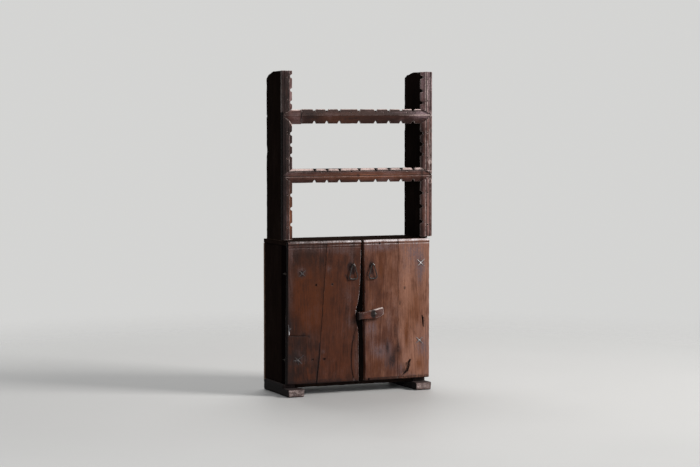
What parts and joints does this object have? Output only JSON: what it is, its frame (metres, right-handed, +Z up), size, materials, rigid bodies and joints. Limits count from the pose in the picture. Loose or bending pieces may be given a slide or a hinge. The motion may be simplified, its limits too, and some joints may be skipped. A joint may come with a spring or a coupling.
{
  "type": "trastero cabinet",
  "caption": "Plank-built wooden cabinet on runners: paired doors on linked iron pin hinges, a wooden turn-button latch, and an open notched rack above.",
  "frame": {"origin": "floor level, in the middle of the overall width and depth", "axes": "+Z up, +Y towards the back, +X to the right as seen from the doors"},
  "size_m": [0.94, 0.418, 1.86],
  "materials": {
    "door_wood": "waxed, worn",
    "carcass_wood": "dark, worn",
    "rack_wood": "waxed, pale worn edges",
    "inner_wood": "sawn, dry",
    "runner_wood": "scuffed, grey",
    "peg_wood": "dark end grain",
    "latch_wood": "polished by handling",
    "forged_iron": "hand-forged, dark patina"
  },
  "bodies": {
    "cabinet": {"left_runner": "runner_wood", "right_runner": "runner_wood", "bottom_board": "carcass_wood", "lid_board": "carcass_wood", "left_side_board": "carcass_wood", "right_side_board": "carcass_wood", "back_board_left": "carcass_wood", "back_board_middle": "carcass_wood", "back_board_right": "carcass_wood", "inner_shelf": "inner_wood", "left_shelf_cleat": "inner_wood", "right_shelf_cleat": "inner_wood", "centre_post": "carcass_wood", "rack_left_panel": "rack_wood", "rack_right_panel": "rack_wood", "rack_upper_shelf": "rack_wood", "rack_lower_shelf": "rack_wood", "rack_upper_rail": "rack_wood", "rack_upper_rail_end": "rack_wood", "rack_lower_rail": "rack_wood", "rack_left_stile_bottom": "rack_wood", "rack_left_stile_middle": "rack_wood", "rack_left_stile_top": "rack_wood", "rack_right_stile_bottom": "rack_wood", "rack_right_stile_middle": "rack_wood", "rack_right_stile_top": "rack_wood", "lid_pegs": "peg_wood", "rack_pegs": "peg_wood", "rack_dowels": "peg_wood", "back_nails": "forged_iron", "left_side_hinge_pins": "forged_iron", "right_side_hinge_pins": "forged_iron"},
    "left_door": {"left_door_outer_board": "door_wood", "left_door_inner_board": "door_wood", "left_door_splice": "door_wood", "left_door_upper_batten": "inner_wood", "left_door_lower_batten": "inner_wood", "left_door_pegs": "peg_wood", "left_door_hinge_pins": "forged_iron", "left_pull_eye": "forged_iron"},
    "right_door": {"right_door_outer_board": "door_wood", "right_door_inner_board": "door_wood", "right_door_upper_batten": "inner_wood", "right_door_lower_batten": "inner_wood", "right_door_nails": "forged_iron", "right_door_hinge_pins": "forged_iron", "right_pull_eye": "forged_iron", "latch_pin": "forged_iron"},
    "left_pull": {"left_pull_drop": "forged_iron"},
    "right_pull": {"right_pull_drop": "forged_iron"},
    "latch": {"latch_bar": "latch_wood"}
  },
  "joints": [
    {"name": "left_door_hinge", "type": "hinge", "parent": "cabinet", "child": "left_door", "pos_m": [-0.45, -0.1235, 0.45], "axis": [0, 0, -1], "range_deg": [0, 110]},
    {"name": "right_door_hinge", "type": "hinge", "parent": "cabinet", "child": "right_door", "pos_m": [0.45, -0.1235, 0.45], "axis": [0, 0, 1], "range_deg": [0, 110]},
    {"name": "left_pull_swing", "type": "hinge", "parent": "left_door", "child": "left_pull", "pos_m": [-0.039, -0.1725, 0.745], "axis": [-1, 0, 0], "range_deg": [-4, 150]},
    {"name": "right_pull_swing", "type": "hinge", "parent": "right_door", "child": "right_pull", "pos_m": [0.083, -0.1725, 0.745], "axis": [-1, 0, 0], "range_deg": [-4, 150]},
    {"name": "latch_turn", "type": "hinge", "parent": "right_door", "child": "latch", "pos_m": [0.088, -0.1773, 0.45847], "axis": [0, -1, 0], "range_deg": [-90, 90]}
  ]
}
